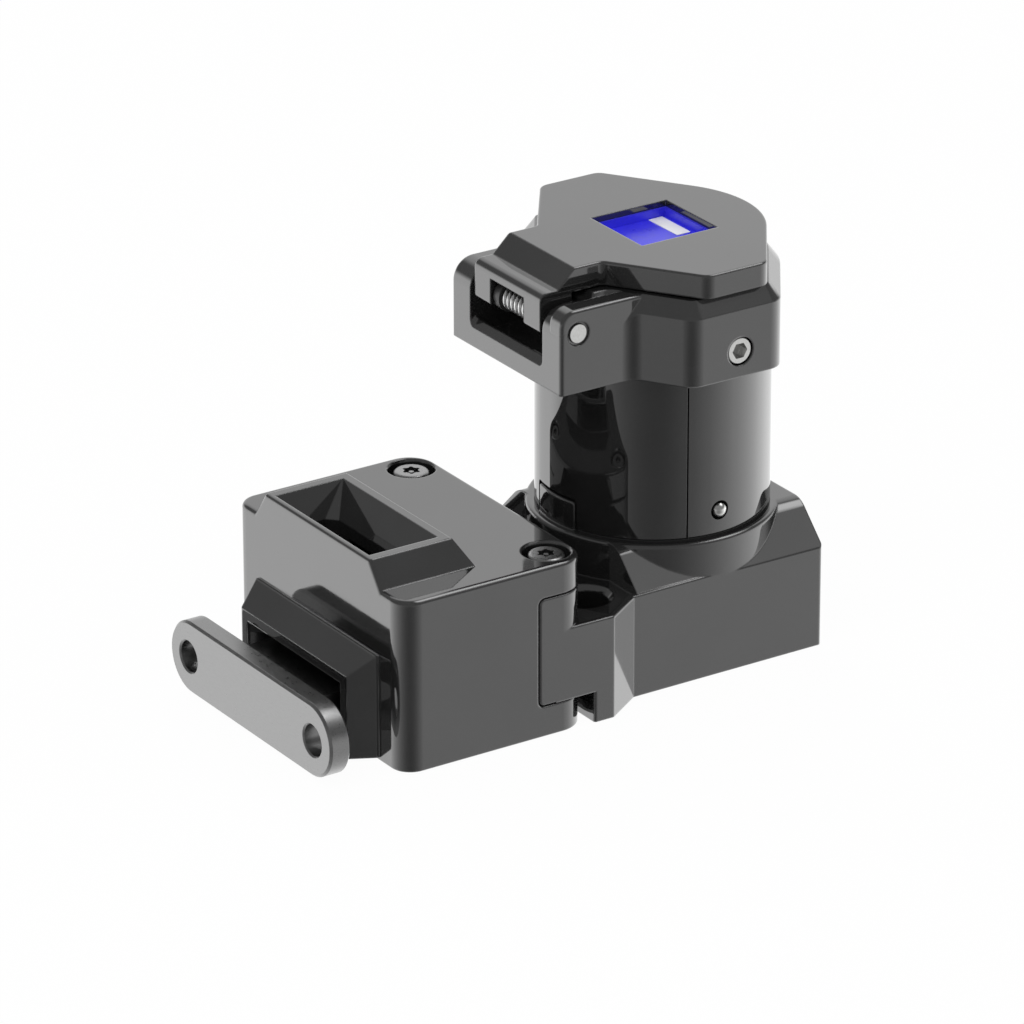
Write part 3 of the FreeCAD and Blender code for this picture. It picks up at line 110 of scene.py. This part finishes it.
class Surface(Nodes):
    """A material made of one principled shader."""

    def __init__(self, name, **values):
        self.material = bpy.data.materials.new(name)
        self.material.use_nodes = True
        super().__init__(self.material.node_tree)
        self.shader = self.tree.nodes["Principled BSDF"]
        self.place = self.add("ShaderNodeTexCoord").outputs["Object"]
        for socket, value in values.items():
            self.shader.inputs[socket.replace("_", " ")].default_value = value

    def stretched(self, scale):
        """The object's coordinates stretched by a scale along each axis."""
        mapping = self.add("ShaderNodeMapping")
        mapping.inputs["Scale"].default_value = scale
        self.link(self.place, mapping.inputs["Vector"])
        return mapping.outputs["Vector"]

    def noise(self, scale, detail=3.0, vector=None):
        """A cloudy texture, whose values lie mostly between 0.3 and 0.7."""
        node = self.add("ShaderNodeTexNoise")
        node.inputs["Scale"].default_value = scale
        node.inputs["Detail"].default_value = detail
        self.link(vector or self.place, node.inputs["Vector"])
        return node.outputs["Fac"]

    def colour(self, value, first, second):
        """Runs the base colour between two colours as a texture goes through its middle range."""
        ramp = self.add("ShaderNodeValToRGB")
        for element, place, colour in zip(ramp.color_ramp.elements, (0.35, 0.65), (first, second)):
            element.position = place
            element.color = (*colour, 1.0)
        self.link(value, ramp.inputs["Fac"])
        self.link(ramp.outputs["Color"], self.shader.inputs["Base Color"])

    def rough(self, value, low, high):
        """Runs the roughness between two values as a texture goes through its range."""
        self.link(self.ramp(value, 0.3, 0.7, low, high), self.shader.inputs["Roughness"])

    def bump(self, value, depth, strength, soft_edge=0.0):
        """Relief of a depth in metres, over edges that are rounded in shading only."""
        node = self.add("ShaderNodeBump")
        node.inputs["Distance"].default_value = depth
        node.inputs["Strength"].default_value = strength
        self.link(value, node.inputs["Height"])
        if soft_edge:
            bevel = self.add("ShaderNodeBevel", samples=EDGE_SAMPLES)
            bevel.inputs["Radius"].default_value = soft_edge
            self.link(bevel.outputs["Normal"], node.inputs["Normal"])
        self.link(node.outputs["Normal"], self.shader.inputs["Normal"])


def toned(colour, factor):
    """A colour made darker or lighter."""
    return [min(1.0, channel * factor) for channel in colour]


def grey(shade):
    return (shade, shade, shade)


def enamel(name, shade, rough, soft_edge, depth):
    """Black gloss enamel, baked hard, with the faint orange peel of sprayed paint."""
    made = Surface(name, IOR=ENAMEL_IOR)
    made.colour(made.noise(60.0), toned(grey(shade), 0.85), toned(grey(shade), 1.15))
    made.rough(made.noise(150.0), rough * 0.8, rough * 1.2)
    made.bump(made.noise(900.0), depth, 0.3, soft_edge)
    return made.material


def bare_metal(name, colour, rough, grain, soft_edge=0.0, depth=3e-6):
    """Bare metal with its grain stretched by a scale along each axis."""
    made = Surface(name, Metallic=1.0)
    texture = made.noise(1.0, 4.0, made.stretched(grain))
    made.colour(texture, toned(colour, 0.93), toned(colour, 1.05))
    made.rough(texture, rough * 0.85, rough * 1.15)
    made.bump(texture, depth, 0.5, soft_edge)
    return made.material


def plain(name, colour, rough, scale=400.0, depth=1e-5):
    """Moulded plastic, printed film or rubber with a fine even texture."""
    made = Surface(name)
    texture = made.noise(scale)
    made.colour(texture, toned(colour, 0.94), toned(colour, 1.05))
    made.rough(texture, rough * 0.9, rough * 1.1)
    made.bump(texture, depth, 0.3)
    return made.material


# How fine each metal's grain is along the axes. The plate is brushed along its length, the ground steel along X.
ROUND_GRAIN = (2600.0, 2600.0, 2600.0)
PLATE_GRAIN = (2000.0, 700.0, 3600.0)
GROUND_GRAIN = (400.0, 2600.0, 2600.0)

# One material for each slot of the record. Lengths are in metres.
MATERIALS = {
    "housing_black": enamel("housing_black", 0.012, rough=0.05, soft_edge=5e-4, depth=2e-6),
    "barrel_black": enamel("barrel_black", 0.01, rough=0.03, soft_edge=1e-4, depth=1e-6),
    "stainless": bare_metal("stainless", grey(0.23), 0.32, PLATE_GRAIN, soft_edge=2e-4, depth=3e-7),
    "fastener_steel": bare_metal(
        "fastener_steel", (0.6, 0.6, 0.59), 0.22, ROUND_GRAIN, soft_edge=1e-4, depth=1e-6
    ),
    "spring_steel": bare_metal("spring_steel", grey(0.68), 0.16, ROUND_GRAIN, depth=1e-6),
    "zinc": bare_metal("zinc", (0.45, 0.45, 0.47), 0.4, ROUND_GRAIN, soft_edge=2e-4),
    "hardened_steel": bare_metal("hardened_steel", (0.38, 0.38, 0.4), 0.28, GROUND_GRAIN, soft_edge=2e-4),
    "key_brass": bare_metal("key_brass", (0.68, 0.49, 0.24), 0.28, ROUND_GRAIN, soft_edge=2e-4),
    "rubber_black": plain("rubber_black", grey(0.02), 0.7),
    "label_blue": plain("label_blue", (0.04, 0.036, 0.72), 0.3, scale=300.0, depth=3e-6),
    "label_white": plain("label_white", grey(0.86), 0.4, scale=300.0, depth=3e-6),
    "spacer_black": plain("spacer_black", grey(0.02), 0.4),
}
# The head's screws are of the fasteners' steel with a rougher face, and a darker colour that is painted shade.
NODE_MATERIALS = {
    "head_screws": bare_metal("screw_steel_painted_shade", grey(0.3), 0.3, ROUND_GRAIN, soft_edge=1e-4, depth=1e-6),
}


def dress_nodes():
    """Gives every node of the frame its own material, or the one of its slot."""
    for part in frame["record"]["subparts"]:
        node = frame["nodes"][part["node"]]
        node.data.materials.clear()
        node.data.materials.append(NODE_MATERIALS.get(part["node"], MATERIALS[part["material_slot"]]))


def add_floor():
    """A white floor that keeps the part's faint shadow. Reflections pass through it to the studio."""
    bpy.ops.mesh.primitive_plane_add(size=FLOOR_SIZE, location=(0.0, 0.0, -FLOOR_GAP))
    floor = bpy.context.object
    floor.name = "floor"
    floor.visible_glossy = False
    made = Surface("floor_white", Roughness=0.9, Specular_IOR_Level=0.1)
    darker, lighter = FLOOR_TONES
    made.colour(made.noise(3.0), grey(darker), grey(lighter))
    seen = made.add("ShaderNodeLightPath").outputs["Is Camera Ray"]
    white = made.add("ShaderNodeEmission")
    mix = made.add("ShaderNodeMixShader")
    made.link(made.product(seen, FLOOR_GLOW), mix.inputs["Fac"])
    made.link(made.shader.outputs[0], mix.inputs[1])
    made.link(white.outputs[0], mix.inputs[2])
    made.link(mix.outputs[0], made.tree.nodes["Material Output"].inputs["Surface"])
    floor.data.materials.append(made.material)


# The studio as the part's surfaces mirror it. Its tone runs evenly from a dark side to a bright one, and is at its
# brightest from the cosine to the dark side given here.
DARK_SIDE = (-0.48, -0.77, -0.41)
DARK_TONE, BRIGHT_TONE = 0.2, 1.95
BRIGHT_COSINE = -0.3
# Soft round patches lie over it. Each has a direction, the angle in degrees out to which it is full, the angle at
# which it ends, and its tone.
STUDIO_PATCHES = (
    ((0.32, 0.86, -0.41), 10.0, 52.0, 1.3),
    ((0.0, 0.0, 1.0), 75.0, 92.0, 0.28),
    ((0.5, 0.77, 0.35), 25.0, 45.0, 1.15),
    ((0.5, -0.35, 0.8), 6.0, 20.0, 0.75),
    ((0.5, -0.05, 0.87), 8.0, 20.0, 3.5),
)
# The even light that the surroundings give to everything that isn't a mirrored ray.
STUDIO_LIGHT = 0.6


def add_studio():
    """White surroundings to the camera, tones in reflections, and an even light."""
    world = bpy.data.worlds.new("studio")
    world.use_nodes = True
    bpy.context.scene.world = world
    made = Nodes(world.node_tree)
    direction = made.add("ShaderNodeTexCoord").outputs["Generated"]

    def facing(aim):
        """The cosine between a direction and the ray's."""
        node = made.add("ShaderNodeVectorMath", operation="DOT_PRODUCT")
        made.link(direction, node.inputs[0])
        node.inputs[1].default_value = Vector(aim).normalized()
        return node.outputs["Value"]

    tone = made.ramp(facing(DARK_SIDE), BRIGHT_COSINE, 1.0, BRIGHT_TONE, DARK_TONE)
    for aim, full, end, level in STUDIO_PATCHES:
        outer, inner = math.cos(math.radians(end)), math.cos(math.radians(full))
        patch = made.ramp(facing(aim), outer, inner, 0.0, 1.0, smooth=True)
        tone = made.blend(patch, tone, level)
    paths = made.add("ShaderNodeLightPath")
    shown = made.blend(paths.outputs["Is Glossy Ray"], STUDIO_LIGHT, tone)
    shown = made.blend(paths.outputs["Is Camera Ray"], shown, 1.0)
    background = made.tree.nodes["Background"]
    made.link(shown, background.inputs["Strength"])
    background.inputs["Color"].default_value = (1.0, 1.0, 1.0, 1.0)


# Each lamp: name, place and power in watts. All of them face the part.
LAMPS = (
    ("key_lamp", (-0.9, -0.5, 1.3), 10.0),
    ("fill_lamp", (1.1, -0.9, 0.7), 4.0),
    ("rear_lamp", (0.3, 1.2, 1.0), 5.0),
)
LAMP_SIZE = 0.9
LAMP_TARGET = Vector((-0.035, 0.0, 0.045))


def add_lamps():
    """Large soft lamps that reflections don't show."""
    for name, place, power in LAMPS:
        data = bpy.data.lights.new(name, "AREA")
        data.size = LAMP_SIZE
        data.energy = power
        lamp = bpy.data.objects.new(name, data)
        lamp.location = place
        lamp.rotation_euler = (LAMP_TARGET - Vector(place)).to_track_quat("-Z", "Y").to_euler()
        lamp.visible_glossy = False
        bpy.context.scene.collection.objects.link(lamp)


add_camera()
dress_nodes()
add_floor()
add_studio()
add_lamps()
bpy.context.scene.view_settings.view_transform = "Standard"
